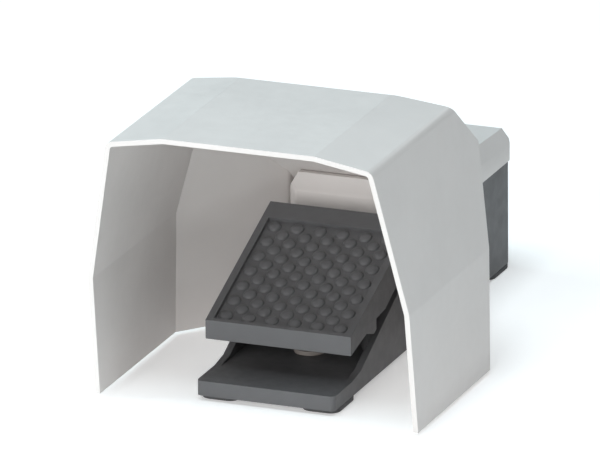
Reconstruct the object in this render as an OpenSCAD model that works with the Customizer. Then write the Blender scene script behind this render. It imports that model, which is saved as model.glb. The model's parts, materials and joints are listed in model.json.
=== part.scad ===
// Industrial foot switch with a guard hood over its pedal.
// Millimetres. X runs to the right, Y to the back, Z up. Sizes along Y are given from the
// front edge of the base plate, and in_frame() moves each finished piece so that the
// origin is on the floor, under the middle of the whole switch.

/* [Base] */
// Width of the base casting
base_w = 81; // [76:1:86]
// Length of the base casting
base_len = 274; // [268:1:290]
// Height of the underside above the floor
base_lift = 3; // [2.5:0.5:4]
// Thickness of the front plate
plate_t = 8.5; // [8:0.5:10]
// Radius of the plate's front corners
plate_corner_r = 3; // [2:0.5:6]
// Thickness of each cheek
cheek_t = 3.9; // [3.6:0.1:5]
// Slope of the cheeks' upper edge, in degrees
cheek_slope = 25.3; // [24:0.1:26]
// Where the cheeks start to rise from the plate
cheek_foot_y = 27; // [24:1:30]

/* [Contact housing] */
// Front face of the contact housing
housing_y = 140.5; // [139:0.5:143]
// Height of the housing's rim, where the cover sits
seam_z = 64; // [62:0.5:66]
// Wall thickness of the housing
wall_t = 3.5; // [3:0.5:4]
// Radius of the housing's upright corners
housing_corner_r = 5; // [3:0.5:6]
// Radius of the cable entry, at the thread's core
entry_r = 9.2; // [9.2:0.1:9.4]
// Height of the cable entry's axis
entry_z = 34; // [32:1:38]

/* [Cover] */
// Height of the crease around the cover, at its front
crease_z = 77.7; // [76:0.1:79]
// Height of the chamfer between the crease and the top
cover_chamfer_h = 9.8; // [8:0.1:11]
// Inset of the top from the crease
cover_chamfer_in = 4.8; // [4:0.1:5.5]
// Fall of the crease and the top to the rear, in degrees
cover_fall = 2.25; // [1:0.05:2.5]
// Wall thickness of the cover
cover_t = 3; // [2.5:0.5:3.5]

/* [Pedal] */
// Front edge of the pedal's deck, along Y
pedal_y = 19.7; // [19:0.1:21]
// Front edge of the pedal's deck, above the floor
pedal_z = 39.9; // [39.5:0.1:41]
// Length of the deck along its slope
deck_len = 104.7; // [103:0.1:105]
// Slope of the deck, in degrees
deck_slope = 21.25; // [21:0.05:21.5]
// Thickness of the deck at its rim
deck_t = 6; // [5.5:0.5:6.5]
// Height of the front lip
lip_h = 10.9; // [10:0.1:11.5]
// Thickness of the side skirts
skirt_t = 1.8; // [1.6:0.1:2.5]
// Depth of the recessed field
field_depth = 2.1; // [1.8:0.1:2.4]
// Radius of each knob
knob_r = 3.7; // [3.2:0.1:3.8]
// Distance between knobs across the pedal
knob_pitch_x = 13.4; // [13:0.1:13.6]
// Distance between knob rows along the deck
knob_pitch_y = 13; // [12.6:0.1:13.2]
// Return spring's axis, along Y
spring_y = 67.5; // [64:0.5:72]

/* [Hinge] */
// Distance from the pivot axis to the contact housing
pivot_ahead = 16.5; // [15.5:0.5:17.5]
// Pivot axis, above the floor
pivot_z = 40; // [39.5:0.5:41]
// Radius of the pivot pin
pin_r = 4; // [3.5:0.1:4.5]
// Radial running clearance of the bushes on the pin
running_gap = 0.05; // [0.03:0.01:0.08]
// Turn of the pedal from rest to its stops, in degrees
pedal_travel = 9; // [8:0.5:9]

/* [Guard hood] */
// Thickness of the hood's sheet
sheet_t = 3; // [2.5:0.25:3]
// Height of the hood's lower edge above the floor
hood_lift = 2; // [1:0.5:4]
// Half width of the hood at its lower edge
hood_half_low = 94.7; // [90:0.1:100]
// Half width of the hood at the crease of its sides
hood_half_crease = 93.8; // [89:0.1:99]
// Half width of the hood at its shoulders
hood_half_shoulder = 77.3; // [74:0.1:82]
// Half width of the flat top panel
hood_half_top = 44.1; // [40:0.1:48]
// Height of the crease in the sides
hood_crease_z = 72.4; // [68:0.1:76]
// Height of the shoulders
hood_shoulder_z = 155.4; // [150:0.1:158]
// Height of the top panel
hood_top_z = 161.2; // [159:0.1:165]
// Front edge of the hood at the floor, along Y
hood_front_y = -14; // [-18:0.5:-10]
// Forward lean of the front edge, in degrees
hood_rake = 8.25; // [5:0.25:10]
// Where the side walls turn into the wings
wing_y = 97.2; // [95:0.1:99]
// Angle of the wings from the X axis, in degrees
wing_angle = 50.3; // [49:0.1:52]
// Sum of Y and Z on the outside of the sloping rear panel
rear_slope_sum = 240.5; // [239:0.5:242]
// Distance from the housing's sides to the side flanges
flange_stand_off = 4.3; // [4:0.1:6]
// Length of the side flanges behind the wings
flange_len = 34; // [30:1:40]

/* [Contact mechanism] */
// Height of the push rod's axis
plunger_z = 24; // [23.5:0.5:24.5]
// Radius of the push rod
plunger_r = 3; // [2.8:0.1:3.2]
// Gap left between pushed parts at rest
push_gap = 0.3; // [0.25:0.05:0.4]
// Half width of the contact block
block_half_w = 21; // [20:0.5:22]
// Distance from the housing's front face to the contact block
block_set_back = 15.5; // [15:0.5:18]
// Length of the contact block
block_len = 48; // [46:1:50]

/* [Hidden] */
$fn = 64;
hair = 0.02;
fit_gap = 0.05;
past = 1;
screw_gap = 0.15;
screw_slot_w = 0.9;
screw_slot_depth = 1;
base_half = base_w / 2;
pivot_y = housing_y - pivot_ahead;
plate_top = base_lift + plate_t;
base_colour = [0.30, 0.30, 0.31];
hood_colour = [0.83, 0.85, 0.85];
cover_colour = [0.80, 0.81, 0.80];
steel_colour = [0.72, 0.73, 0.75];
zinc_colour = [0.82, 0.80, 0.74];
brass_colour = [0.80, 0.62, 0.30];
copper_colour = [0.80, 0.48, 0.30];
rubber_colour = [0.10, 0.10, 0.10];
nylon_colour = [0.86, 0.80, 0.72];
resin_colour = [0.16, 0.17, 0.19];
clear_colour = [0.75, 0.82, 0.86, 0.6];

// Base details
foot_w = 22;
foot_len = 30;
foot_spigot = 14;
foot_spigot_h = 2;
foot_corner_r = 6;
foot_front_y = 4;
foot_x = base_half - foot_w / 2;
foot_rows = [foot_front_y + foot_len / 2, base_len - foot_len / 2];
under_pocket_t = 4;
under_rim = 8;
under_rear_rim = 6.5;
under_foot_gap = 2;
under_pocket = [foot_front_y + foot_len + under_foot_gap, housing_y - under_rear_rim];
under_pocket_half = base_half - under_rim;
under_bays = 3;
under_rib_t = 4;
cheek_lead = 13;
cheek_lead_h = 2;
cheek_below_seam = 0.5;
cheek_in_x = base_half - cheek_t;

// Contact housing details
floor_t = 4;
floor_z = base_lift + floor_t;
room_half = base_half - wall_t;
room_y = [housing_y + wall_t, base_len - wall_t];
gasket_h = 1.2;
gasket_w = 1.7;
post_r = 5.3;
post_sink = 0.5;
post_x = room_half - post_r + post_sink;
post_foot_gap = 5;
post_rows = [room_y[0] + post_r - post_sink, base_len - foot_len - post_foot_gap];
post_top = seam_z - gasket_h;
cover_screw_r = 2;
cover_screw_head_r = 3.5;
cover_screw_head_h = 3;
cover_screw_seat = base_lift + floor_t;
cover_screw_bore_gap = 0.25;
cover_screw_head_gap = 0.5;
cover_screw_tip_gap = 1;
cover_socket_r = 1.7;
cover_socket_depth = 1.6;
entry_boss_r = 14;
entry_boss_len = 7.5;
flange_gap = base_w + 2 * flange_stand_off;
flange_half = flange_gap / 2 + sheet_t;
wing_end_y = wing_y + (hood_half_low - flange_half) * tan(wing_angle);
flange_end_y = wing_end_y + flange_len;
hood_boss_r = 7;
hood_boss_root = 1;
hood_boss_behind = 16;
hood_boss_y = wing_end_y + hood_boss_behind;
hood_boss_drops = [42, 12];
hood_boss_rows = [seam_z - hood_boss_drops[0], seam_z - hood_boss_drops[1]];
hood_hole_depth = 2.5;
hood_screw_r = 2.5;
hood_screw_head_r = 4.6;
hood_screw_head_h = 2.8;
hood_washer_r = 5.3;
hood_washer_t = 1;
hood_screw_in = 0.2;
hood_socket_r = 1.75;
hood_socket_depth = 1.8;
hood_hole_gap = 0.25;

// Cover details
cover_over = 1;
cover_half = base_half + cover_over;
cover_y = [housing_y - cover_over, base_len + cover_over];
cover_corner_r = housing_corner_r + cover_over;
cover_boss_r = 4.6;
cover_boss_h = 10;
cover_boss_top = seam_z + cover_boss_h;
cover_bore_below = 2;
hood_cover_gap = 0.3;

// Pedal details
pedal_over = 0.4;
skirt_in_x = base_half + pedal_over;
pedal_half = skirt_in_x + skirt_t;
deck_end = [pedal_y + deck_len * cos(deck_slope), pedal_z + deck_len * sin(deck_slope)];
deck_drop = deck_t / cos(deck_slope);
lip_t = 2.6;
pedal_rear_t = 3;
field_side_rim = 4.1;
field_front_rim = 2.6;
field_rear_rim = 13.7;
field_half = pedal_half - field_side_rim;
field_end = [field_front_rim, deck_len - field_rear_rim];
knob_rows = 7;
knob_columns = 6;
bush_side_gap = 0.3;
bush_flange_t = 3;
lug_out_x = cheek_in_x - bush_side_gap - bush_flange_t;
lug_t = 6;
lug_in_x = lug_out_x - lug_t;
lug_reach = 64;
lug_knee = 42;
lug_heel = 12;
lug_front_y = pivot_y - lug_reach;
lug_knee_y = pivot_y - lug_knee;
lug_heel_y = pivot_y - lug_heel;
lug_drop = 10;
lug_front_drop = 2;
lug_waist_in = 0.8;
lug_root = 1;
hub_r = 8.5;
bush_r = 6;
bush_flange_r = 7.6;
push_bar = [pivot_y - 4.5, pivot_y + 3];
push_bar_z = [plunger_z - 6, plunger_z + 5];
stop_bar = [push_bar[1], pivot_y + 9.3];
stop_bar_z = [pivot_z + 12, pivot_z + 20];
spring_boss_r = 8.5;
spring_boss_drop = 2;
spring_spigot_r = 4.6;
spring_spigot_h = 6;

// Hinge details
pin_end_x = base_half + 2.8;
clip_x = base_half + 0.3;
clip_t = 1;
clip_r = 6.5;
clip_groove_r = 3;
clip_mouth = 4.4;

// Springs and stops
cup_r = 9;
cup_flange_h = 2.5;
cup_spigot_h = 8.5;
spring_r = 6.2;
spring_wire_r = 0.9;
spring_turns = 7;
buffer_r = 6;
buffer_x = (lug_in_x + lug_out_x) / 2;
buffer_ahead = 40;
buffer_y = pivot_y - buffer_ahead;
stop_gap = 0.15;
buffer_top = pivot_z - (pivot_y - lug_knee_y) * sin(pedal_travel)
             - lug_drop * cos(pedal_travel) - stop_gap;
rest_buffer_half = 12;

// Push rod, guide and striker details
striker_r = 2.5;
striker_hex_r = 4.6;
striker_head = [push_bar[0] - 7.5, push_bar[0] - 4];
striker_nut_y = [push_bar[0] - 3, push_bar[0]];
striker_tip_y = housing_y - 9;
striker_dome = 1.2;
plunger_head_y = striker_tip_y + push_gap;
plunger_head_t = 2.2;
plunger_head_r = 5.5;
plunger_end_y = housing_y + 12;
guide_r = 6;
guide_flange_r = 8.5;
guide_flange_t = 1.8;
guide_end_y = housing_y + 5.5;
ring_y = guide_end_y + push_gap;
ring_t = 1;
ring_r = 4.8;
ring_groove_r = 2.4;
boot_gap = 1;
boot_neck = 1.4;
boot_fold = 3.6;
boot_skin = 1;

// Contact block details
block_y = housing_y + block_set_back;
block_end_y = block_y + block_len;
block_core_half = block_half_w - 9.6;
block_wall = 4;
block_bore_len = block_wall + 3;
ledge_z = plunger_z + 6;
block_top_z = ledge_z + 4;
well_half = block_core_half - 1.9;
well = [block_y + block_wall, block_end_y - block_wall];
well_z = floor_z + 5;
lid_in = 1;
lid_t = 2.5;
carrier_half = 3;
carrier_round_r = 3.2;
carrier_end_y = block_end_y - 14;
bridge_half = well_half - 1;
bridge_h = 3;
bridge_t = 1;
bridge_rows = [block_y + 16, block_y + 28];
contact_t = 1.2;
contact_rows = [bridge_rows[0] - contact_t / 2 - screw_gap, bridge_rows[1] + 4.2];
contact_tip_x = carrier_half + 2.5;
contact_web_x = block_core_half + 1.1;
contact_web_t = 1.2;
contact_slot_gap = 0.1;
tab_end_x = block_half_w - 0.5;
tab_half = 4;
tab_t = 1.2;
terminal_x = block_half_w - 4;
terminal_r = 1.7;
terminal_head_r = 3;
terminal_head_h = 2.4;
terminal_depth = 6;
clamp_half = 3.5;
clamp_t = 1.2;
clamp_lift = 0.8;
clamp_z = ledge_z + tab_t + clamp_lift;
ear_half = 4;
ear_x = block_half_w + ear_half;
ear_end_x = ear_x + ear_half + 0.5;
ear_z = [floor_z + 4, floor_z + 8];
ear_y = block_y + block_len / 2;
ear_screw_r = 1.75;
ear_screw_depth = 9;
ear_head_r = 3.2;
ear_head_h = 2.2;
earth_at = [0, block_end_y + 18];
earth_boss_r = 5;
earth_boss_top = floor_z + 6;
earth_screw_r = 2;
earth_screw_depth = 7;
earth_head_r = 3.8;
earth_head_h = 2.6;
screw_tip_gap = 1;

// Coil springs of the contact block
carrier_spring_r = 2.4;
carrier_spring_wire_r = 0.35;
carrier_spring_turns = 6;

// Middle of the whole switch, along Y.
function front_y(z) = hood_front_y - (z - base_lift) * tan(hood_rake);
middle_y = (cover_y[1] + front_y(hood_top_z)) / 2;

// ---------- Shape helpers ----------

module in_frame() {
    translate([0, -middle_y, 0]) children();
}

module box(x, y, z) {
    translate([x[0], y[0], z[0]]) cube([x[1] - x[0], y[1] - y[0], z[1] - z[0]]);
}

module middle_box(half, y, z) {
    box([-half, half], y, z);
}

module rod_x(r, x, y, z) {
    translate([x[0], y, z]) rotate([0, 90, 0]) cylinder(r = r, h = x[1] - x[0]);
}

module rod_y(r, y, x, z) {
    translate([x, y[1], z]) rotate([90, 0, 0]) cylinder(r = r, h = y[1] - y[0]);
}

module rod_z(r, z, x, y) {
    translate([x, y, z[0]]) cylinder(r = r, h = z[1] - z[0]);
}

// Extrudes an outline drawn in Y and Z along X.
module along_x(x) {
    translate([x[0], 0, 0]) rotate([90, 0, 90]) linear_extrude(x[1] - x[0]) children();
}

// Extrudes an outline drawn in X and Z along Y.
module along_y(y) {
    translate([0, y[1], 0]) rotate([90, 0, 0]) linear_extrude(y[1] - y[0]) children();
}

// Extrudes an outline drawn in X and Y along Z.
module along_z(z) {
    translate([0, 0, z[0]]) linear_extrude(z[1] - z[0]) children();
}

module both_sides() {
    children();
    mirror([1, 0, 0]) children();
}

// Plan rectangle with four round corners.
module round_plan(half, y, r) {
    translate([-half + r, y[0]]) square([2 * (half - r), y[1] - y[0]]);
    translate([-half, y[0] + r]) square([2 * half, y[1] - y[0] - 2 * r]);
    for (x = [-half + r, half - r], corner_y = [y[0] + r, y[1] - r])
        translate([x, corner_y]) circle(r = r);
}

function around(middle, half) = [middle - half, middle + half];
function unit(v) = v / norm(v);
function left_of(v) = [-v.y, v.x];
function next_of(path, i) = path[(i + 1) % len(path)];
function last_of(path, i) = path[(i + len(path) - 1) % len(path)];

// Moves every edge of a counter-clockwise outline inwards by d.
function inset(path, d) = [
    for (i = [0:len(path) - 1])
        let (a = left_of(unit(path[i] - last_of(path, i))),
             b = left_of(unit(next_of(path, i) - path[i])))
        path[i] + (a + b) * d / (1 + a * b)
];

// Rounds one corner b, between a and c, with an arc of radius r.
function corner_arc(a, b, c, r, steps) =
    r <= 0 ? [b] :
    let (u = unit(a - b),
         w = unit(c - b),
         half = acos(u * w) / 2,
         centre = b + unit(u + w) * r / sin(half),
         from = b + u * r / tan(half) - centre,
         turn = sign((b - a).x * (c - b).y - (b - a).y * (c - b).x),
         start = atan2(from.y, from.x),
         sweep = turn * (180 - 2 * half))
    [for (i = [0:steps]) centre + r * [cos(start + sweep * i / steps), sin(start + sweep * i / steps)]];

// Rounds the corners of an outline, each with its own radius.
function rounded(path, radii, steps = 4) = [
    for (i = [0:len(path) - 1])
        each corner_arc(last_of(path, i), path[i], next_of(path, i), radii[i], steps)
];

// Round wire wound into a coil that stands on its lower end.
module coil(r, wire_r, height, turns, steps = 14, sides = 6) {
    count = turns * steps;
    rise = height - 2 * wire_r;
    rings = [
        for (i = [0:count], s = [0:sides - 1])
            let (a = 360 * i / steps,
                 b = 360 * s / sides,
                 reach = r + wire_r * cos(b))
            [reach * cos(a), reach * sin(a), wire_r + rise * i / count + wire_r * sin(b)]
    ];
    walls = [
        for (i = [0:count - 1], s = [0:sides - 1])
            let (t = (s + 1) % sides)
            [i * sides + s, i * sides + t, (i + 1) * sides + t, (i + 1) * sides + s]
    ];
    start_cap = [for (s = [sides - 1:-1:0]) s];
    end_cap = [for (s = [0:sides - 1]) count * sides + s];
    polyhedron(points = rings, faces = concat([start_cap], walls, [end_cap]), convexity = 10);
}

// ---------- Base ----------

function cheek_z(y) = plate_top + cheek_lead_h + (y - cheek_foot_y - cheek_lead) * tan(cheek_slope);

module cheek() {
    end_y = housing_y + housing_corner_r;
    along_x([cheek_in_x, base_half])
        polygon([
            [cheek_foot_y, plate_top - hair],
            [end_y, plate_top - hair],
            [end_y, min(cheek_z(end_y), seam_z - cheek_below_seam)],
            [cheek_foot_y + cheek_lead, plate_top + cheek_lead_h],
            [cheek_foot_y, plate_top]
        ]);
}

// Front plate with round front corners, joined to the housing behind it.
module plate() {
    along_z([base_lift, plate_top]) {
        round_plan(base_half, [0, housing_y], plate_corner_r);
        translate([-base_half, housing_y - plate_corner_r])
            square([base_w, plate_corner_r + housing_corner_r]);
    }
}

// Plate, cheeks and the open box of the housing, cast in one.
module base_shell() {
    difference() {
        union() {
            plate();
            both_sides() cheek();
            along_z([base_lift, seam_z])
                round_plan(base_half, [housing_y, base_len], housing_corner_r);
        }
        middle_box(room_half, room_y, [floor_z, seam_z + past]);
        middle_box(room_half + gasket_w, room_y + [-gasket_w, gasket_w], [post_top, seam_z + past]);
    }
}

module foot_pockets() {
    for (side = [-1, 1], y = foot_rows)
        translate([side * foot_x, y, base_lift - hair])
            translate([-foot_spigot / 2, -foot_spigot / 2, 0])
                cube([foot_spigot, foot_spigot, foot_spigot_h + hair]);
}

// Hollows in the plate's underside, with cross ribs left between them.
module under_pockets() {
    span = (under_pocket[1] - under_pocket[0] - (under_bays - 1) * under_rib_t) / under_bays;
    for (bay = [0:under_bays - 1])
        let (start = under_pocket[0] + bay * (span + under_rib_t))
        middle_box(under_pocket_half, [start, start + span],
                   [base_lift - hair, plate_top - under_pocket_t]);
}

module at_cover_posts() {
    for (side = [-1, 1], y = post_rows)
        translate([side * post_x, y, 0]) children();
}

module at_hood_bosses() {
    for (z = hood_boss_rows)
        translate([0, hood_boss_y, z]) children();
}

module at_block_ears() {
    for (side = [-1, 1])
        translate([side * ear_x, ear_y, 0]) children();
}

module base_solids() {
    base_shell();
    at_cover_posts() rod_z(post_r, [floor_z - hair, post_top], 0, 0);
    both_sides() at_hood_bosses()
        rod_x(hood_boss_r, [base_half - hood_boss_root, flange_gap / 2], 0, 0);
    rod_y(entry_boss_r, [room_y[1] - entry_boss_len, room_y[1] + hair], 0, entry_z);
    at_block_ears() rod_z(ear_half, [floor_z - hair, ear_z[0]], 0, 0);
    rod_z(earth_boss_r, [floor_z - hair, earth_boss_top], earth_at.x, earth_at.y);
}

module base_housing() {
    in_frame() color(base_colour)
        difference() {
            base_solids();
            foot_pockets();
            under_pockets();
            at_cover_posts() {
                rod_z(cover_screw_r + cover_screw_bore_gap, [0, seam_z], 0, 0);
                rod_z(cover_screw_head_r + cover_screw_head_gap, [0, cover_screw_seat], 0, 0);
            }
            both_sides() at_hood_bosses()
                rod_x(hood_screw_r + fit_gap, [base_half - hood_hole_depth, flange_gap / 2 + past], 0, 0);
            rod_y(entry_r, [room_y[1] - entry_boss_len - past, base_len + past], 0, entry_z);
            both_sides() rod_x(pin_r + fit_gap, [cheek_in_x - past, base_half + past], pivot_y, pivot_z);
            rod_y(guide_r + fit_gap, [housing_y - past, room_y[0] + past], 0, plunger_z);
            at_block_ears()
                rod_z(ear_screw_r + fit_gap, [ear_z[1] - ear_screw_depth, ear_z[0] + past], 0, 0);
            rod_z(earth_screw_r + fit_gap, [earth_boss_top - earth_screw_depth, earth_boss_top + past],
                  earth_at.x, earth_at.y);
        }
}

module rubber_feet() {
    in_frame() color(rubber_colour)
        for (side = [-1, 1], y = foot_rows)
            translate([side * foot_x, y, 0]) {
                along_z([0, base_lift]) round_plan(foot_w / 2, around(0, foot_len / 2), foot_corner_r);
                middle_box(foot_spigot / 2 - fit_gap, [-1, 1] * (foot_spigot / 2 - fit_gap),
                           [base_lift - hair, base_lift + foot_spigot_h - fit_gap]);
            }
}

// ---------- Cover ----------

function cover_fall_at(y) = (y - cover_y[0]) * tan(cover_fall);

// Side outline of the cover, in Y and Z. Its crease and top fall to the rear.
cover_top_y = cover_y + [cover_chamfer_in, -cover_chamfer_in];
cover_side = [
    [cover_y[0], -seam_z],
    [cover_y[1], -seam_z],
    [cover_y[1], crease_z - cover_fall_at(cover_y[1])],
    [cover_top_y[1], crease_z + cover_chamfer_h - cover_fall_at(cover_top_y[1])],
    [cover_top_y[0], crease_z + cover_chamfer_h - cover_fall_at(cover_top_y[0])],
    [cover_y[0], crease_z]
];

// Front outline of the cover, in X and Z. Its chamfers run on above the top.
cover_front = [
    [-cover_half, -seam_z],
    [cover_half, -seam_z],
    [cover_half, crease_z],
    [cover_half - 2 * cover_chamfer_in, crease_z + 2 * cover_chamfer_h],
    [-cover_half + 2 * cover_chamfer_in, crease_z + 2 * cover_chamfer_h],
    [-cover_half, crease_z]
];

// The cover's outside, moved inwards by d, above the height from_z.
module cover_form(d, from_z) {
    reach = 2 * cover_half;
    intersection() {
        along_z([from_z, crease_z + 2 * cover_chamfer_h])
            round_plan(cover_half - d, cover_y + [d, -d], cover_corner_r - min(d, cover_corner_r - 1));
        along_x([-reach, reach]) polygon(inset(cover_side, d));
        translate([0, cover_y[0], crease_z]) rotate([-cover_fall, 0, 0])
            translate([0, -cover_y[0], -crease_z])
                along_y(cover_y + [-reach, reach]) polygon(inset(cover_front, d));
    }
}

module housing_cover() {
    in_frame() color(cover_colour)
        difference() {
            union() {
                difference() {
                    cover_form(0, seam_z);
                    cover_form(cover_t, seam_z - past);
                }
                intersection() {
                    at_cover_posts()
                        rod_z(cover_boss_r, [post_top + gasket_h / 2, crease_z + cover_chamfer_h], 0, 0);
                    cover_form(cover_t / 2, 0);
                }
            }
            at_cover_posts()
                rod_z(cover_screw_r + fit_gap, [seam_z - cover_bore_below, cover_boss_top], 0, 0);
        }
}

module cover_gasket() {
    inner_half = room_half + fit_gap;
    in_frame() color(rubber_colour)
        difference() {
            middle_box(room_half + gasket_w - fit_gap, room_y + [-1, 1] * (gasket_w - fit_gap),
                       [post_top, seam_z]);
            middle_box(inner_half, room_y + [-1, 1] * fit_gap, [post_top - past, seam_z + past]);
        }
}

module cover_screws() {
    head_z = cover_screw_seat - cover_screw_head_h;
    in_frame() color(steel_colour)
        at_cover_posts() {
            rod_z(cover_screw_r, [cover_screw_seat - hair, cover_boss_top - cover_screw_tip_gap], 0, 0);
            difference() {
                rod_z(cover_screw_head_r, [head_z, cover_screw_seat], 0, 0);
                translate([0, 0, head_z - past])
                    cylinder(r = cover_socket_r, h = cover_socket_depth + past, $fn = 6);
            }
        }
}

// ---------- Guard hood ----------

function hood_low_half(z) =
    hood_half_low + (hood_half_low - hood_half_crease) * (hood_lift - z) / (hood_crease_z - hood_lift);

// Front outline, in X and Z, counter-clockwise.
hood_below = -20;
hood_profile = [
    [hood_low_half(hood_below), hood_below],
    [hood_half_crease, hood_crease_z],
    [hood_half_shoulder, hood_shoulder_z],
    [hood_half_top, hood_top_z],
    [-hood_half_top, hood_top_z],
    [-hood_half_shoulder, hood_shoulder_z],
    [-hood_half_crease, hood_crease_z],
    [-hood_low_half(hood_below), hood_below]
];
profile_bends = [0, 10, 5, 5, 5, 5, 10, 0];

// Plan outline, in X and Y, counter-clockwise.
hood_ahead = -70;
hood_behind = 230;
hood_plan = [
    [hood_half_low + past, hood_ahead],
    [hood_half_low + past, wing_y - past * tan(wing_angle)],
    [flange_half, wing_end_y],
    [flange_half, hood_behind],
    [-flange_half, hood_behind],
    [-flange_half, wing_end_y],
    [-hood_half_low - past, wing_y - past * tan(wing_angle)],
    [-hood_half_low - past, hood_ahead]
];
plan_bends = [0, 6, 3.5, 0, 0, 3.5, 6, 0];

// Side outline, in Y and Z, counter-clockwise.
hood_side = [
    [hood_ahead, hood_below],
    [hood_behind, hood_below],
    [hood_behind, rear_slope_sum - hood_behind],
    [rear_slope_sum - hood_top_z, hood_top_z],
    [hood_ahead, hood_top_z]
];
side_bends = [0, 0, 0, 5, 0];

function inner_bends(bends) = [for (r = bends) max(r - sheet_t, 0)];

module hood_form(d, keep_bends) {
    radii = keep_bends ? [profile_bends, plan_bends, side_bends]
                       : [inner_bends(profile_bends), inner_plan_bends(), inner_bends(side_bends)];
    intersection() {
        along_y([hood_ahead, hood_behind]) polygon(rounded(inset(hood_profile, d), radii[0]));
        along_z([hood_below, hood_top_z + past]) polygon(rounded(inset(hood_plan, d), radii[1]));
        along_x([-1, 1] * (hood_half_low + 2 * past)) polygon(rounded(inset(hood_side, d), radii[2]));
    }
}

// The wings bend back at the flanges, so there the inner radius is the larger one.
function inner_plan_bends() = [0, plan_bends[1] - sheet_t, plan_bends[2] + sheet_t, 0,
                               0, plan_bends[2] + sheet_t, plan_bends[1] - sheet_t, 0];

// Cuts the front edge to its lean, and the lower and rear edges straight.
module hood_window() {
    over = hood_top_z + past;
    along_x([-1, 1] * (hood_half_low + past))
        polygon([
            [front_y(hood_lift), hood_lift],
            [flange_end_y, hood_lift],
            [flange_end_y, over],
            [front_y(over), over]
        ]);
}

module guard_hood() {
    in_frame() color(hood_colour)
        difference() {
            intersection() {
                difference() {
                    hood_form(0, true);
                    hood_form(sheet_t, false);
                }
                hood_window();
            }
            cover_form(-hood_cover_gap, floor_z);
            both_sides() at_hood_bosses()
                rod_x(hood_screw_r + hood_hole_gap, [flange_gap / 2 - past, flange_half + past], 0, 0);
        }
}

module hood_screws() {
    seat = flange_half + hood_washer_t;
    in_frame() color(steel_colour)
        both_sides() at_hood_bosses() {
            rod_x(hood_screw_r, [base_half - hood_screw_in, seat + hair], 0, 0);
            difference() {
                rod_x(hood_screw_head_r, [seat, seat + hood_screw_head_h], 0, 0);
                translate([seat + hood_screw_head_h - hood_socket_depth, 0, 0]) rotate([0, 90, 0])
                    cylinder(r = hood_socket_r, h = hood_socket_depth + past, $fn = 6);
            }
        }
}

module hood_washers() {
    in_frame() color(steel_colour)
        both_sides() at_hood_bosses()
            difference() {
                rod_x(hood_washer_r, [flange_half, flange_half + hood_washer_t], 0, 0);
                rod_x(hood_screw_r + screw_gap, [flange_half - past, flange_half + hood_washer_t + past],
                      0, 0);
            }
}

// ---------- Pedal ----------

function deck_top(y) = pedal_z + (y - pedal_y) * tan(deck_slope);
function deck_under(y) = deck_top(y) - deck_drop;
spring_boss_z = deck_under(spring_y) - spring_boss_drop;

// Outline of the deck and its side skirts, in Y and Z. A short nose hangs from the skirt.
skirt_start = [pedal_y, pedal_z - lip_h];
skirt_steps = [[23.7, 5.1], [35, 1.6], [38.8, 3.1], [38.8, 9.1], [52.7, 10.5]];
skirt_rear_h = 18;
pedal_side = concat(
    [[pedal_y, pedal_z], skirt_start],
    [for (step = skirt_steps) skirt_start + step],
    [deck_end - [0, skirt_rear_h], deck_end]
);

module pedal_hollow() {
    rear_y = deck_end.x - pedal_rear_t;
    along_x([-1, 1] * skirt_in_x)
        polygon([
            [pedal_y + lip_t, 0],
            [rear_y, 0],
            [rear_y, deck_under(rear_y)],
            [pedal_y + lip_t, deck_under(pedal_y + lip_t)]
        ]);
}

// Places children on the deck, X across, Y up the slope, Z away from it.
module on_deck() {
    translate([0, pedal_y, pedal_z]) rotate([deck_slope, 0, 0]) children();
}

module knob(x, y) {
    translate([x, y, -field_depth - hair]) cylinder(r = knob_r, h = field_depth + hair, $fn = 32);
}

// Rows of knobs, with shorter rows set between them.
module knobs() {
    middle_y = (field_end[0] + field_end[1]) / 2;
    for (row = [0:knob_rows - 1], column = [0:knob_columns - 1])
        knob((column - (knob_columns - 1) / 2) * knob_pitch_x,
             middle_y + (row - (knob_rows - 1) / 2) * knob_pitch_y);
    for (row = [0:knob_rows - 2], column = [0:knob_columns - 2])
        knob((column - (knob_columns - 2) / 2) * knob_pitch_x,
             middle_y + (row - (knob_rows - 2) / 2) * knob_pitch_y);
}

module pedal_lug() {
    difference() {
        along_x([lug_in_x, lug_out_x]) {
            polygon([
                [lug_front_y, deck_under(lug_front_y) + lug_root],
                [lug_front_y, pivot_z - lug_front_drop],
                [lug_knee_y, pivot_z - lug_drop],
                [lug_heel_y, pivot_z - lug_drop],
                [push_bar[0] - lug_root, push_bar_z[0]],
                [push_bar[1], push_bar_z[0]],
                [stop_bar[1] - lug_waist_in, pivot_z],
                [stop_bar[1], stop_bar_z[0]],
                [stop_bar[1], stop_bar_z[1]],
                [deck_end.x, stop_bar_z[1] + hub_r],
                [deck_end.x - lug_root, deck_under(deck_end.x - lug_root) + lug_root]
            ]);
            translate([pivot_y, pivot_z]) circle(r = hub_r);
        }
        rod_x(bush_r, [lug_in_x - past, lug_out_x + past], pivot_y, pivot_z);
    }
}

module pedal() {
    in_frame() color(base_colour) {
        difference() {
            along_x([-1, 1] * pedal_half) polygon(pedal_side);
            pedal_hollow();
            on_deck() middle_box(field_half, field_end, [-field_depth, past]);
        }
        on_deck() knobs();
        both_sides() pedal_lug();
        difference() {
            middle_box(lug_in_x + hair, push_bar, push_bar_z);
            rod_y(striker_r + hair, push_bar + [-past, past], 0, plunger_z);
        }
        middle_box(lug_in_x + hair, stop_bar, stop_bar_z);
        rod_z(spring_boss_r, [spring_boss_z, deck_under(spring_y) + spring_boss_drop], 0, spring_y);
        rod_z(spring_spigot_r, [spring_boss_z - spring_spigot_h, spring_boss_z + hair], 0, spring_y);
    }
}

// ---------- Hinge ----------

module pivot_pin() {
    in_frame() color(steel_colour)
        difference() {
            rod_x(pin_r, [-pin_end_x, pin_end_x], pivot_y, pivot_z);
            both_sides()
                difference() {
                    rod_x(pin_r + past, [clip_x, clip_x + clip_t], pivot_y, pivot_z);
                    rod_x(clip_groove_r, [clip_x - past, clip_x + clip_t + past], pivot_y, pivot_z);
                }
        }
}

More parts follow.
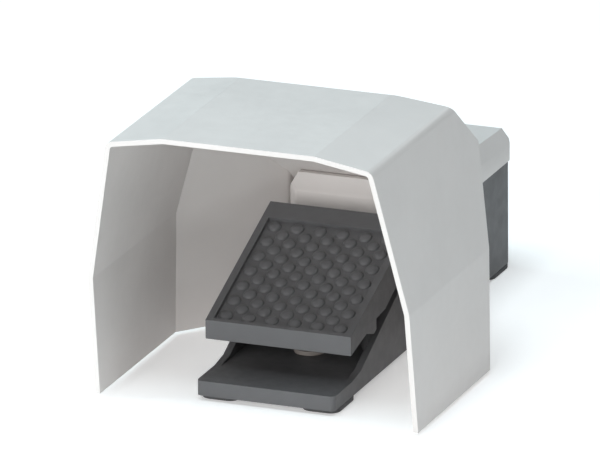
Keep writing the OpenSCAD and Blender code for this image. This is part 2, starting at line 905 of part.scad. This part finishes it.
module pivot_bushes() {
    in_frame() color(brass_colour)
        both_sides()
            difference() {
                union() {
                    rod_x(bush_r, [lug_in_x, lug_out_x + hair], pivot_y, pivot_z);
                    rod_x(bush_flange_r, [lug_out_x, cheek_in_x - bush_side_gap], pivot_y, pivot_z);
                }
                rod_x(pin_r + running_gap, [lug_in_x - past, cheek_in_x], pivot_y, pivot_z);
            }
}

// Open clips in the pin's grooves, their mouths down.
module pin_clips() {
    inner_r = clip_groove_r + fit_gap;
    in_frame() color(zinc_colour)
        both_sides()
            difference() {
                rod_x(clip_r, [clip_x + fit_gap, clip_x + clip_t - fit_gap], pivot_y, pivot_z);
                rod_x(inner_r, [clip_x - past, clip_x + clip_t + past], pivot_y, pivot_z);
                box([clip_x - past, clip_x + clip_t + past], around(pivot_y, clip_mouth / 2),
                    [pivot_z - clip_r - past, pivot_z]);
            }
}

// ---------- Springs and stops ----------

module return_spring() {
    from_z = plate_top + cup_flange_h;
    in_frame() color(steel_colour)
        translate([0, spring_y, from_z + hair])
            coil(spring_r, spring_wire_r, spring_boss_z - from_z - 2 * hair, spring_turns);
}

module spring_cup() {
    in_frame() color(nylon_colour)
        translate([0, spring_y, 0]) {
            rod_z(cup_r, [plate_top, plate_top + cup_flange_h], 0, 0);
            rod_z(spring_spigot_r, [plate_top, plate_top + cup_spigot_h], 0, 0);
        }
}

module stop_buffers() {
    in_frame() color(rubber_colour)
        both_sides() rod_z(buffer_r, [plate_top, buffer_top], buffer_x, buffer_y);
}

module rest_buffer() {
    in_frame() color(rubber_colour)
        middle_box(rest_buffer_half, [stop_bar[1] + push_gap, housing_y], stop_bar_z);
}

// ---------- Striker and push rod ----------

module hex_y(y) {
    translate([0, y[1], plunger_z]) rotate([90, 0, 0]) cylinder(r = striker_hex_r, h = y[1] - y[0], $fn = 6);
}

module striker_screw() {
    in_frame() color(zinc_colour) {
        hex_y(striker_head);
        rod_y(striker_r, [striker_head[1] - hair, striker_tip_y - striker_dome], 0, plunger_z);
        translate([0, striker_tip_y - striker_dome, plunger_z]) rotate([-90, 0, 0])
            cylinder(r1 = striker_r, r2 = striker_r - striker_dome, h = striker_dome);
    }
}

module striker_nut() {
    in_frame() color(zinc_colour)
        difference() {
            hex_y(striker_nut_y);
            rod_y(striker_r + hair, striker_nut_y + [-past, past], 0, plunger_z);
        }
}

module plunger() {
    in_frame() color(steel_colour) {
        rod_y(plunger_head_r, [plunger_head_y, plunger_head_y + plunger_head_t], 0, plunger_z);
        difference() {
            rod_y(plunger_r, [plunger_head_y + plunger_head_t - hair, plunger_end_y], 0, plunger_z);
            difference() {
                rod_y(plunger_r + past, [ring_y, ring_y + ring_t], 0, plunger_z);
                rod_y(ring_groove_r, [ring_y - past, ring_y + ring_t + past], 0, plunger_z);
            }
        }
    }
}

module plunger_guide() {
    in_frame() color(brass_colour)
        difference() {
            union() {
                rod_y(guide_flange_r, [housing_y - guide_flange_t, housing_y], 0, plunger_z);
                rod_y(guide_r, [housing_y - hair, guide_end_y], 0, plunger_z);
            }
            rod_y(plunger_r + running_gap, [housing_y - guide_flange_t - past, guide_end_y + past],
                  0, plunger_z);
        }
}

// Rubber boot with one fold, between the rod's head and the guide.
module plunger_bellows() {
    front = plunger_head_y + plunger_head_t;
    back = housing_y - guide_flange_t;
    len = back - front;
    bore = plunger_r + boot_gap;
    in_frame() color(rubber_colour)
        translate([0, front, plunger_z]) rotate([-90, 0, 0]) rotate_extrude()
            polygon([
                [bore, 0],
                [bore + boot_neck, 0],
                [bore + boot_fold, len / 2],
                [bore + boot_neck, len],
                [bore, len],
                [bore, len - boot_skin / 2],
                [bore + boot_fold - 2 * boot_skin, len / 2],
                [bore, boot_skin / 2]
            ]);
}

module plunger_ring() {
    in_frame() color(zinc_colour)
        difference() {
            rod_y(ring_r, [ring_y + fit_gap, ring_y + ring_t - fit_gap], 0, plunger_z);
            rod_y(ring_groove_r + fit_gap, [ring_y - past, ring_y + ring_t + past], 0, plunger_z);
        }
}

// ---------- Contact block ----------

// Places children at each of the four contacts, with X outwards.
module at_contacts() {
    for (y = contact_rows) {
        translate([0, y, 0]) children();
        translate([0, y, 0]) mirror([1, 0, 0]) children();
    }
}

module contact_strip(x_from, gap) {
    z_low = plunger_z - bridge_h / 2;
    box([x_from, contact_web_x + contact_web_t / 2 + gap], [-1, 1] * (contact_t / 2 + gap),
        [z_low - gap, z_low + bridge_h + gap]);
    box([contact_web_x - contact_web_t / 2 - gap, contact_web_x + contact_web_t / 2 + gap],
        [-1, 1] * (contact_t / 2 + gap), [z_low - gap, ledge_z + hair]);
}

module contact_block() {
    in_frame() color(resin_colour)
        difference() {
            union() {
                middle_box(block_core_half, [block_y, block_end_y], [floor_z, block_top_z]);
                middle_box(block_half_w, [block_y, block_end_y], [floor_z, ledge_z]);
                middle_box(ear_end_x, [ear_y - ear_half, ear_y + ear_half], ear_z);
            }
            middle_box(well_half, well, [well_z, block_top_z + past]);
            rod_y(carrier_round_r + running_gap, [block_y - past, well[0] + past], 0, plunger_z);
            at_contacts() contact_strip(well_half - past, contact_slot_gap);
            at_contacts()
                rod_z(terminal_r + fit_gap, [ledge_z - terminal_depth, ledge_z + past], terminal_x, 0);
            at_block_ears() rod_z(ear_screw_r + screw_gap, ear_z + [-past, past], 0, 0);
        }
}

module contact_lid() {
    in_frame() color(clear_colour)
        middle_box(block_core_half, [block_y + lid_in, block_end_y - lid_in],
                   [block_top_z, block_top_z + lid_t]);
}

module contact_carrier() {
    front = plunger_end_y + push_gap;
    in_frame() color(nylon_colour)
        difference() {
            union() {
                rod_y(carrier_round_r, [front, block_y + block_bore_len], 0, plunger_z);
                middle_box(carrier_half, [block_y + block_bore_len - hair, carrier_end_y],
                           around(plunger_z, carrier_half));
            }
            for (y = bridge_rows)
                middle_box(carrier_half + past, [y - fit_gap, y + bridge_t + fit_gap],
                           around(plunger_z, bridge_h / 2 + fit_gap));
        }
}

module contact_bridges() {
    in_frame() color(copper_colour)
        for (y = bridge_rows)
            middle_box(bridge_half, [y, y + bridge_t], around(plunger_z, bridge_h / 2));
}

module contact_spring() {
    in_frame() color(steel_colour)
        translate([0, carrier_end_y + hair, plunger_z]) rotate([-90, 0, 0])
            coil(carrier_spring_r, carrier_spring_wire_r, well[1] - carrier_end_y - 2 * hair,
                 carrier_spring_turns, 12, 5);
}

module fixed_contacts() {
    in_frame() color(brass_colour)
        at_contacts()
            difference() {
                union() {
                    contact_strip(contact_tip_x, 0);
                    box([contact_web_x - contact_web_t / 2, tab_end_x], [-tab_half, tab_half],
                        [ledge_z, ledge_z + tab_t]);
                }
                rod_z(terminal_r + screw_gap, [ledge_z - past, ledge_z + tab_t + past], terminal_x, 0);
            }
}

module terminal_clamps() {
    in_frame() color(zinc_colour)
        at_contacts()
            difference() {
                box([terminal_x - clamp_half, terminal_x + clamp_half], [-clamp_half, clamp_half],
                    [clamp_z, clamp_z + clamp_t]);
                rod_z(terminal_r + screw_gap, [clamp_z - past, clamp_z + clamp_t + past], terminal_x, 0);
            }
}

// Slotted cheese-head screw standing on z = 0, its shank below.
module slotted_screw(r, depth, head_r, head_h) {
    rod_z(r, [-depth, hair], 0, 0);
    difference() {
        rod_z(head_r, [0, head_h], 0, 0);
        middle_box(head_r + past, around(0, screw_slot_w / 2), [head_h - screw_slot_depth, head_h + past]);
    }
}

module terminal_screws() {
    seat = clamp_z + clamp_t;
    in_frame() color(zinc_colour)
        at_contacts()
            translate([terminal_x, 0, seat])
                slotted_screw(terminal_r, seat - ledge_z + terminal_depth - screw_tip_gap,
                              terminal_head_r, terminal_head_h);
}

module block_screws() {
    in_frame() color(zinc_colour)
        at_block_ears()
            translate([0, 0, ear_z[1]])
                slotted_screw(ear_screw_r, ear_screw_depth - screw_tip_gap, ear_head_r, ear_head_h);
}

// ---------- Earth terminal ----------

module earth_clamp() {
    in_frame() color(zinc_colour)
        translate([earth_at.x, earth_at.y, earth_boss_top])
            difference() {
                middle_box(earth_boss_r, [-1, 1] * earth_boss_r, [0, clamp_t]);
                rod_z(earth_screw_r + screw_gap, [-past, clamp_t + past], 0, 0);
            }
}

module earth_screw() {
    in_frame() color(brass_colour)
        translate([earth_at.x, earth_at.y, earth_boss_top + clamp_t])
            slotted_screw(earth_screw_r, earth_screw_depth + clamp_t - screw_tip_gap,
                          earth_head_r, earth_head_h);
}

// ---------- Nodes ----------

base_housing();
rubber_feet();
housing_cover();
cover_gasket();
cover_screws();
guard_hood();
hood_screws();
hood_washers();
pedal();
pivot_pin();
pivot_bushes();
pin_clips();
return_spring();
spring_cup();
stop_buffers();
rest_buffer();
striker_screw();
striker_nut();
plunger();
plunger_guide();
plunger_bellows();
plunger_ring();
contact_block();
contact_lid();
contact_carrier();
contact_bridges();
contact_spring();
fixed_contacts();
terminal_clamps();
terminal_screws();
block_screws();
earth_clamp();
earth_screw();
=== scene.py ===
"""Dresses the industrial foot switch: painted castings, folded hood, studded pedal."""
import json
import math

import bmesh
import bpy
from mathutils import Matrix, Vector


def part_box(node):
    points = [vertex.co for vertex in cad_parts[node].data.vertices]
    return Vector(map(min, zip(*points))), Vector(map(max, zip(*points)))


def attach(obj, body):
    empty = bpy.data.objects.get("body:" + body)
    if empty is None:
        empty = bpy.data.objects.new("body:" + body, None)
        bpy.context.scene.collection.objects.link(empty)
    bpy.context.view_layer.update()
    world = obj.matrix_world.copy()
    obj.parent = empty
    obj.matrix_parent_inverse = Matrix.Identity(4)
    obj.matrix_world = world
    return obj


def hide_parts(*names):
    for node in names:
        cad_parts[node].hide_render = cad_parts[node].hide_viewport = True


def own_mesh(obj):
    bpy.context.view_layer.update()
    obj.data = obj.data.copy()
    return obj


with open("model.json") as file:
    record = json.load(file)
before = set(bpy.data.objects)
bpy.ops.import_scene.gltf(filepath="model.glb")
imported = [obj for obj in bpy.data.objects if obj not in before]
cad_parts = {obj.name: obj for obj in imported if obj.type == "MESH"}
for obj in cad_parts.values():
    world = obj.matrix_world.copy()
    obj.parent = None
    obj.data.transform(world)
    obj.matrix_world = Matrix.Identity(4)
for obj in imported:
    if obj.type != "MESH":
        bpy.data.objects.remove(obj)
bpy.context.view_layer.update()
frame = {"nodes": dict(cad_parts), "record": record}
nodes = frame["nodes"]

MM = 0.001
PLATE_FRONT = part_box("base_housing")[0].y


def at(x, y, z):
    """A point given in millimetres, along Y from the base plate's front edge."""
    return Vector((x * MM, PLATE_FRONT + y * MM, z * MM))


# ---------- Camera ----------

def make_camera():
    azimuth, elevation, roll = 21.625, 18.537, -0.455
    distance, lens = 6.532, 716.25
    target = at(0.06, 53.57, 88.86)
    a, e, r = (math.radians(v) for v in (azimuth, elevation, roll))
    back = Vector((math.sin(a) * math.cos(e), -math.cos(a) * math.cos(e), math.sin(e)))
    right = Vector((math.cos(a), math.sin(a), 0.0))
    up = back.cross(right)
    x_axis = right * math.cos(r) + up * math.sin(r)
    y_axis = up * math.cos(r) - right * math.sin(r)
    place = Matrix((x_axis, y_axis, back)).transposed().to_4x4()
    place.translation = target + back * distance
    data = bpy.data.cameras.new("camera")
    data.lens = lens
    data.sensor_width = 36.0
    data.sensor_fit = "HORIZONTAL"
    data.clip_start = 0.1
    data.clip_end = 60.0
    camera = bpy.data.objects.new("camera", data)
    camera.matrix_world = place
    bpy.context.scene.collection.objects.link(camera)
    bpy.context.scene.camera = camera


make_camera()


# ---------- Materials ----------

class Finish:
    """A material under construction: a shader, object coordinates and helper nodes."""

    def __init__(self, name, colour, roughness, metallic=0.0):
        self.material = bpy.data.materials.new(name)
        self.material.use_nodes = True
        self.nodes = self.material.node_tree.nodes
        self.links = self.material.node_tree.links
        self.nodes.clear()
        self.shader = self.nodes.new("ShaderNodeBsdfPrincipled")
        output = self.nodes.new("ShaderNodeOutputMaterial")
        self.links.new(self.shader.outputs[0], output.inputs["Surface"])
        self.place = self.nodes.new("ShaderNodeTexCoord").outputs["Object"]
        self.shader.inputs["Metallic"].default_value = metallic
        self.shader.inputs["Roughness"].default_value = roughness
        self.shader.inputs["Base Color"].default_value = (*colour, 1.0)
        self.colour, self.roughness = colour, roughness
        self.material.diffuse_color = (*colour, 1.0)

    def noise(self, scale, detail=3.0, stretch=(1, 1, 1)):
        mapping = self.nodes.new("ShaderNodeMapping")
        mapping.inputs["Scale"].default_value = stretch
        self.links.new(self.place, mapping.inputs["Vector"])
        noise = self.nodes.new("ShaderNodeTexNoise")
        noise.inputs["Scale"].default_value = scale
        noise.inputs["Detail"].default_value = detail
        self.links.new(mapping.outputs[0], noise.inputs["Vector"])
        return noise.outputs["Fac"]

    def remap(self, value, low, high, start=0.35, end=0.65):
        node = self.nodes.new("ShaderNodeMapRange")
        for key, number in (("From Min", start), ("From Max", end), ("To Min", low), ("To Max", high)):
            node.inputs[key].default_value = number
        self.links.new(value, node.inputs["Value"])
        return node.outputs["Result"]

    def blend(self, factor, first, second):
        node = self.nodes.new("ShaderNodeMix")
        node.data_type = "RGBA"
        self.links.new(factor, node.inputs["Factor"])
        for socket, colour in ((node.inputs["A"], first), (node.inputs["B"], second)):
            if isinstance(colour, tuple):
                socket.default_value = (*colour, 1.0)
            else:
                self.links.new(colour, socket)
        return node.outputs["Result"]

    def painted_edge_highlight(self, body, edge_highlight_colour):
        """Paints a paler colour where the surface turns over an edge, as a painted highlight."""
        geometry = self.nodes.new("ShaderNodeNewGeometry")
        edge = self.remap(geometry.outputs["Pointiness"], 0.0, 0.5, 0.52, 0.62)
        return self.blend(edge, body, edge_highlight_colour)

    def vary_colour(self, scale, amount, stretch=(1, 1, 1)):
        """Drifts the colour a little lighter and darker over the surface."""
        darker = tuple(c * (1 - amount) for c in self.colour)
        lighter = tuple(min(1.0, c * (1 + amount)) for c in self.colour)
        factor = self.remap(self.noise(scale, 4.0, stretch), 0.0, 1.0)
        self.links.new(self.blend(factor, darker, lighter), self.shader.inputs["Base Color"])

    def vary_roughness(self, scale, amount, stretch=(1, 1, 1)):
        low, high = max(0.03, self.roughness - amount), min(1.0, self.roughness + amount)
        self.links.new(self.remap(self.noise(scale, 4.0, stretch), low, high),
                       self.shader.inputs["Roughness"])

    def bump(self, layers, strength=1.0):
        """Raises the surface by several layers of (height in metres, height source)."""
        normal = None
        for height, source in layers:
            node = self.nodes.new("ShaderNodeBump")
            node.inputs["Strength"].default_value = strength
            node.inputs["Distance"].default_value = height
            self.links.new(source, node.inputs["Height"])
            if normal:
                self.links.new(normal, node.inputs["Normal"])
            normal = node.outputs["Normal"]
        self.links.new(normal, self.shader.inputs["Normal"])


def powder_coat(name, colour, roughness, peel, grain, drift=0.02):
    """Baked paint: a faint orange peel over a fine grain, its edges made a little paler by a painted highlight."""
    finish = Finish(name, colour, roughness)
    body = finish.blend(finish.remap(finish.noise(24.0, 3.0), 0.0, 1.0),
                        tuple(c * (1 - drift) for c in colour), tuple(c * (1 + drift) for c in colour))
    # The edges get a painted highlight: the colour is lightened by 35% where the surface turns over.
    finish.links.new(finish.painted_edge_highlight(body, tuple(min(1.0, c * 1.35) for c in colour)),
                     finish.shader.inputs["Base Color"])
    finish.vary_roughness(160.0, 0.05)
    finish.bump([(peel, finish.noise(420.0, 2.0)), (grain, finish.noise(2600.0, 2.0))], 0.5)
    return finish.material


def moulded(name, colour, roughness, grain, variation=0.06):
    finish = Finish(name, colour, roughness)
    finish.vary_colour(60.0, variation)
    finish.vary_roughness(300.0, 0.07)
    finish.bump([(grain, finish.noise(1800.0, 3.0))], 0.6)
    return finish.material


def turned_metal(name, colour, roughness, stretch=(1, 1, 1)):
    finish = Finish(name, colour, roughness, metallic=1.0)
    finish.vary_colour(240.0, 0.07)
    finish.vary_roughness(900.0, 0.09, stretch)
    finish.bump([(0.000012, finish.noise(2400.0, 2.0, stretch))], 0.5)
    return finish.material


FINISHES = {
    "base_paint": powder_coat("base_paint", (0.098, 0.098, 0.102), 0.55, 0.00004, 0.00003, 0.05),
    "hood_paint": powder_coat("hood_paint", (0.70, 0.668, 0.65), 0.45, 0.00003, 0.00001),
    "cover_paint": powder_coat("cover_paint", (0.70, 0.668, 0.65), 0.45, 0.00003, 0.00001),
    "rubber": moulded("rubber", (0.070, 0.070, 0.073), 0.75, 0.00003),
    "steel": turned_metal("steel", (0.48, 0.49, 0.51), 0.28, (6, 1, 1)),
    "zinc_steel": turned_metal("zinc_steel", (0.60, 0.58, 0.50), 0.34, (1, 5, 1)),
    "brass": turned_metal("brass", (0.60, 0.36, 0.10), 0.30, (1, 1, 5)),
    "copper": turned_metal("copper", (0.62, 0.24, 0.10), 0.30),
    "nylon": moulded("nylon", (0.30, 0.27, 0.25), 0.50, 0.00002, 0.04),
    "resin": moulded("resin", (0.022, 0.024, 0.028), 0.42, 0.00002),
    "clear_plastic": moulded("clear_plastic", (0.42, 0.52, 0.57), 0.18, 0.00001, 0.03),
}
SLOT_OF = {row["node"]: row["material_slot"] for row in frame["record"]["subparts"]}
BODY_OF = {n: body for body, group in frame["record"]["behaviour"]["bodies"].items() for n in group}

for name, node in nodes.items():
    node.data.materials.clear()
    node.data.materials.append(FINISHES[SLOT_OF[name]])


# ---------- Mesh helpers ----------

def add_piece(name, mesh, slot, body, *replaced):
    """Links a finished mesh as a piece that rides on a body."""
    piece = bpy.data.objects.new(name, mesh)
    bpy.context.scene.collection.objects.link(piece)
    mesh.materials.clear()
    mesh.materials.append(FINISHES[slot])
    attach(piece, body)
    if replaced:
        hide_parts(*replaced)
    return piece


def soften(piece, width, segments=2, angle=32.0, smooth=24.0):
    """Rounds a piece's edges and shades its bends smoothly."""
    for polygon in piece.data.polygons:
        polygon.use_smooth = True
    bevel = piece.modifiers.new("edge_radius", "BEVEL")
    bevel.width = width * MM
    bevel.segments = segments
    bevel.limit_method = "ANGLE"
    bevel.angle_limit = math.radians(angle)
    bevel.use_clamp_overlap = True
    bevel.miter_outer = "MITER_ARC"
    bevel.harden_normals = True
    weighted = piece.modifiers.new("flat_faces", "WEIGHTED_NORMAL")
    weighted.keep_sharp = True
    weighted.weight = 100
    return piece


def merged(node, flat_faces=True):
    """A CAD node's mesh in a bmesh, its loose triangles joined."""
    bm = bmesh.new()
    bm.from_mesh(nodes[node].data)
    bmesh.ops.remove_doubles(bm, verts=bm.verts, dist=1e-6)
    bmesh.ops.dissolve_degenerate(bm, edges=bm.edges, dist=1e-6)
    if flat_faces:
        bmesh.ops.dissolve_limit(bm, angle_limit=math.radians(0.5), verts=bm.verts, edges=bm.edges)
    return bm


def finished(bm, name):
    mesh = bpy.data.meshes.new(name)
    bm.to_mesh(mesh)
    bm.free()
    return mesh


def softened_node(node, name, width, flat_faces=True, segments=2, angle=32.0):
    mesh = finished(merged(node, flat_faces), name)
    piece = add_piece(name, mesh, SLOT_OF[node], BODY_OF[node], node)
    return soften(piece, width, segments, angle)


def grown(name, tree, settings):
    """Runs a node tree with the given inputs and returns the result as a plain mesh."""
    holder = bpy.data.objects.new(name, bpy.data.meshes.new(name + "_seed"))
    bpy.context.scene.collection.objects.link(holder)
    modifier = holder.modifiers.new(name, "NODES")
    modifier.node_group = tree
    for item in tree.interface.items_tree:
        if item.item_type == "SOCKET" and item.name in settings:
            modifier[item.identifier] = settings[item.name]
    graph = bpy.context.evaluated_depsgraph_get()
    mesh = bpy.data.meshes.new_from_object(holder.evaluated_get(graph), depsgraph=graph)
    bpy.data.objects.remove(holder)
    mesh.name = name
    return mesh


class Grower:
    """A node tree that makes geometry, with named inputs for its sizes."""

    def __init__(self, name):
        self.tree = bpy.data.node_groups.new(name, "GeometryNodeTree")
        self.tree.is_modifier = True
        self.tree.interface.new_socket("Geometry", in_out="INPUT", socket_type="NodeSocketGeometry")
        self.tree.interface.new_socket("Geometry", in_out="OUTPUT", socket_type="NodeSocketGeometry")
        self.inputs = None

    def needs(self, **sockets):
        for name, kind in sockets.items():
            self.tree.interface.new_socket(name.replace("_", " "), in_out="INPUT", socket_type="NodeSocket" + kind)
        self.inputs = self.tree.nodes.new("NodeGroupInput").outputs

    def node(self, kind, **sockets):
        node = self.tree.nodes.new(kind)
        for name, value in sockets.items():
            socket = node.inputs[name.replace("_", " ")]
            if isinstance(value, bpy.types.NodeSocket):
                self.tree.links.new(value, socket)
            else:
                socket.default_value = value
        return node

    def maths(self, operation, first, second):
        node = self.tree.nodes.new("ShaderNodeMath")
        node.operation = operation
        for socket, value in zip(node.inputs, (first, second)):
            if isinstance(value, bpy.types.NodeSocket):
                self.tree.links.new(value, socket)
            else:
                socket.default_value = value
        return node.outputs[0]

    def vector(self, x, y, z):
        return self.node("ShaderNodeCombineXYZ", X=x, Y=y, Z=z).outputs[0]

    def close(self, geometry, finish):
        solid = self.node("GeometryNodeRealizeInstances", Geometry=geometry).outputs[0]
        coated = self.node("GeometryNodeSetMaterial", Geometry=solid, Material=finish).outputs[0]
        self.tree.links.new(coated, self.tree.nodes.new("NodeGroupOutput").inputs[0])
        return self.tree


# ---------- Pedal ----------

PEDAL_FRONT = at(0, 19.7, 39.9)
DECK_SLOPE = math.radians(21.25)
FIELD_DEPTH = 2.1
FIELD_HALF = 38.6
FIELD_FROM, FIELD_TO = 2.6, 91.0
STUD_PITCH = (13.4, 13.0)


def deck_place():
    """From the deck's own directions (across, up the slope, away from it) to the switch's."""
    place = Matrix.Rotation(DECK_SLOPE, 4, "X")
    place.translation = PEDAL_FRONT
    return place


def pedal_without_studs():
    """The pedal's casting with the floor of its field cleared."""
    bm = merged("pedal", False)
    to_deck = deck_place().inverted()
    inner = FIELD_HALF - 0.3
    cleared = []
    for face in bm.faces:
        spots = [to_deck @ v.co / MM for v in face.verts]
        on_floor = all(abs(p.z + FIELD_DEPTH) < 0.05 for p in spots)
        in_field = all(abs(p.x) < inner and FIELD_FROM + 0.3 < p.y < FIELD_TO - 0.3
                       and -FIELD_DEPTH - 0.05 < p.z < 0.05 for p in spots)
        if in_field or (on_floor and all(abs(p.x) < FIELD_HALF + 0.05 for p in spots)):
            cleared.append(face)
    bmesh.ops.delete(bm, geom=cleared, context="FACES")
    rim = [edge for edge in bm.edges if edge.is_boundary]
    bmesh.ops.contextual_create(bm, geom=rim)
    bmesh.ops.dissolve_limit(bm, angle_limit=math.radians(0.5), verts=bm.verts, edges=bm.edges)
    return finished(bm, "pedal_casting")


def stud_field_tree():
    """Low round studs in rows, with shorter rows set between them."""
    grower = Grower("stud_field")
    grower.needs(Stud_Radius="Float", Stud_Height="Float", Across="Float", Along="Float",
                 Columns="Int", Rows="Int", Slope="Float", Middle="Vector", Finish="Material")
    given = grower.inputs

    def rows(columns, count):
        return grower.node(
            "GeometryNodeMeshGrid",
            Size_X=grower.maths("MULTIPLY", grower.maths("SUBTRACT", columns, 1.0), given["Across"]),
            Size_Y=grower.maths("MULTIPLY", grower.maths("SUBTRACT", count, 1.0), given["Along"]),
            Vertices_X=columns, Vertices_Y=count).outputs["Mesh"]

    ball = grower.node("GeometryNodeMeshUVSphere", Segments=28, Rings=16, Radius=given["Stud Radius"])
    stud = grower.node("GeometryNodeTransform", Geometry=ball.outputs["Mesh"],
                       Scale=grower.vector(1.0, 1.0, grower.maths("DIVIDE", given["Stud Height"],
                                                                  given["Stud Radius"])))
    spread = grower.node("GeometryNodeJoinGeometry")
    for geometry in (rows(given["Columns"], given["Rows"]),
                     rows(grower.maths("SUBTRACT", given["Columns"], 1.0),
                          grower.maths("SUBTRACT", given["Rows"], 1.0))):
        grower.tree.links.new(geometry, spread.inputs[0])
    studs = grower.node("GeometryNodeInstanceOnPoints", Points=spread.outputs[0], Instance=stud.outputs[0])
    smooth = grower.node("GeometryNodeSetShadeSmooth",
                         Geometry=grower.node("GeometryNodeRealizeInstances",
                                              Geometry=studs.outputs[0]).outputs[0])
    placed = grower.node("GeometryNodeTransform", Geometry=smooth.outputs[0],
                         Translation=given["Middle"], Rotation=grower.vector(given["Slope"], 0.0, 0.0))
    return grower.close(placed.outputs[0], given["Finish"])


def make_pedal():
    casting = add_piece("pedal_casting", pedal_without_studs(), "base_paint", "pedal", "pedal")
    soften(casting, 0.7, 3)
    middle = deck_place() @ Vector((0.0, (FIELD_FROM + FIELD_TO) / 2 * MM, -FIELD_DEPTH * MM))
    studs = grown("pedal_studs", stud_field_tree(), {
        "Stud Radius": 3.9 * MM, "Stud Height": 1.9 * MM,
        "Across": STUD_PITCH[0] * MM, "Along": STUD_PITCH[1] * MM,
        "Columns": 6, "Rows": 7, "Slope": DECK_SLOPE, "Middle": tuple(middle),
        "Finish": FINISHES["base_paint"]})
    add_piece("pedal_studs", studs, "base_paint", "pedal")


make_pedal()


# ---------- Cable entry ----------

def thread_tree():
    """A ridge that winds along a threaded bore, drawn along Z and turned to lie along Y."""
    grower = Grower("bore_thread")
    grower.needs(Bore_Radius="Float", Ridge="Float", Turns="Float", Length="Float",
                 Mouth="Vector", Finish="Material")
    given = grower.inputs
    path = grower.node("GeometryNodeCurveSpiral", Resolution=48, Rotations=given["Turns"],
                       Start_Radius=given["Bore Radius"], End_Radius=given["Bore Radius"],
                       Height=given["Length"])
    ridge = grower.node("GeometryNodeCurvePrimitiveCircle", Resolution=4, Radius=given["Ridge"])
    wound = grower.node("GeometryNodeCurveToMesh", Curve=path.outputs[0],
                        Profile_Curve=ridge.outputs["Curve"], Fill_Caps=True)
    placed = grower.node("GeometryNodeTransform", Geometry=wound.outputs[0],
                         Translation=given["Mouth"], Rotation=(math.radians(90.0), 0.0, 0.0))
    return grower.close(placed.outputs[0], given["Finish"])


def make_entry_thread():
    ridge = grown("entry_thread", thread_tree(), {
        "Bore Radius": 9.25 * MM, "Ridge": 0.55 * MM, "Turns": 6.5, "Length": 9.75 * MM,
        "Mouth": tuple(at(0, 273.3, 34)), "Finish": FINISHES["base_paint"]})
    add_piece("entry_thread", ridge, "base_paint", "base")


make_entry_thread()


# ---------- Other pieces ----------

for node, name, width, flat_faces in (
    ("base_housing", "base_casting", 0.8, False),
    ("rubber_feet", "foot_pads", 0.6, True),
    ("housing_cover", "cover_casting", 0.8, True),
    ("guard_hood", "folded_hood", 0.35, True),
    ("spring_cup", "spring_seat", 0.3, True),
    ("stop_buffers", "stop_pads", 0.4, True),
    ("rest_buffer", "rest_pad", 0.3, True),
    ("hood_screws", "hood_bolts", 0.25, True),
    ("hood_washers", "hood_spacers", 0.1, True),
    ("cover_screws", "cover_bolts", 0.2, True),
    ("pin_clips", "pin_rings", 0.1, True),
    ("pivot_pin", "hinge_pin", 0.3, True),
    ("pivot_bushes", "hinge_bushes", 0.2, True),
    ("striker_screw", "striker_bolt", 0.15, True),
    ("striker_nut", "striker_lock_nut", 0.15, True),
    ("plunger_guide", "rod_guide", 0.2, True),
):
    softened_node(node, name, width, flat_faces)


# ---------- Springs and boot -----------------------

def shortening_node(node, name):
    """A smooth-shaded copy of a node with a mesh of its own, shown in the node's place."""
    piece = add_piece(name, finished(merged(node), name), SLOT_OF[node], BODY_OF[node], node)
    for polygon in piece.data.polygons:
        polygon.use_smooth = True
    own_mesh(piece)


shortening_node("return_spring", "lifting_spring")
shortening_node("contact_spring", "carrier_spring")
shortening_node("plunger_bellows", "rod_boot")


# ---------- Floor and light ----------

FLOOR_GLOW = 0.36
ROOM_GLOW = 0.02
LAMPS = (
    # name, azimuth, elevation, distance, size, power, colour
    ("left", -82.0, 36.0, 2.8, 1.8, 36.0, (0.72, 0.94, 1.0)),
    ("front", -4.0, 15.0, 3.0, 1.6, 50.0, (1.0, 0.99, 0.98)),
    ("above", 10.0, 78.0, 2.8, 1.8, 66.0, (0.87, 0.96, 1.0)),
)


def make_floor():
    mesh = bpy.data.meshes.new("floor")
    half = 8.0
    mesh.from_pydata([(-half, -half, 0), (half, -half, 0), (half, half, 0), (-half, half, 0)], [], [(0, 1, 2, 3)])
    floor = bpy.data.objects.new("floor", mesh)
    bpy.context.scene.collection.objects.link(floor)
    finish = Finish("pale_floor", (0.86, 0.86, 0.86), 0.9)
    finish.vary_colour(3.0, 0.01)
    finish.shader.inputs["Specular IOR Level"].default_value = 0.0
    finish.shader.inputs["Emission Color"].default_value = (1.0, 1.0, 1.0, 1.0)
    finish.shader.inputs["Emission Strength"].default_value = FLOOR_GLOW
    mesh.materials.append(finish.material)


def soft_light(name, azimuth, elevation, distance, size, power, colour):
    """A square lamp that looks at the switch from a direction given in degrees."""
    a, e = math.radians(azimuth), math.radians(elevation)
    aim = at(0, 90, 70)
    place = aim + distance * Vector((math.sin(a) * math.cos(e), -math.cos(a) * math.cos(e), math.sin(e)))
    data = bpy.data.lights.new(name, "AREA")
    data.size = size
    data.energy = power
    data.color = colour
    lamp = bpy.data.objects.new(name, data)
    lamp.location = place
    lamp.rotation_euler = (aim - place).to_track_quat("-Z", "Y").to_euler()
    bpy.context.scene.collection.objects.link(lamp)


def make_light():
    world = bpy.data.worlds.new("pale_room")
    world.use_nodes = True
    background = world.node_tree.nodes["Background"]
    background.inputs["Color"].default_value = (1.0, 1.0, 1.0, 1.0)
    background.inputs["Strength"].default_value = ROOM_GLOW
    bpy.context.scene.world = world
    for lamp in LAMPS:
        soft_light(*lamp)
    bpy.context.scene.view_settings.view_transform = "Standard"


make_floor()
make_light()
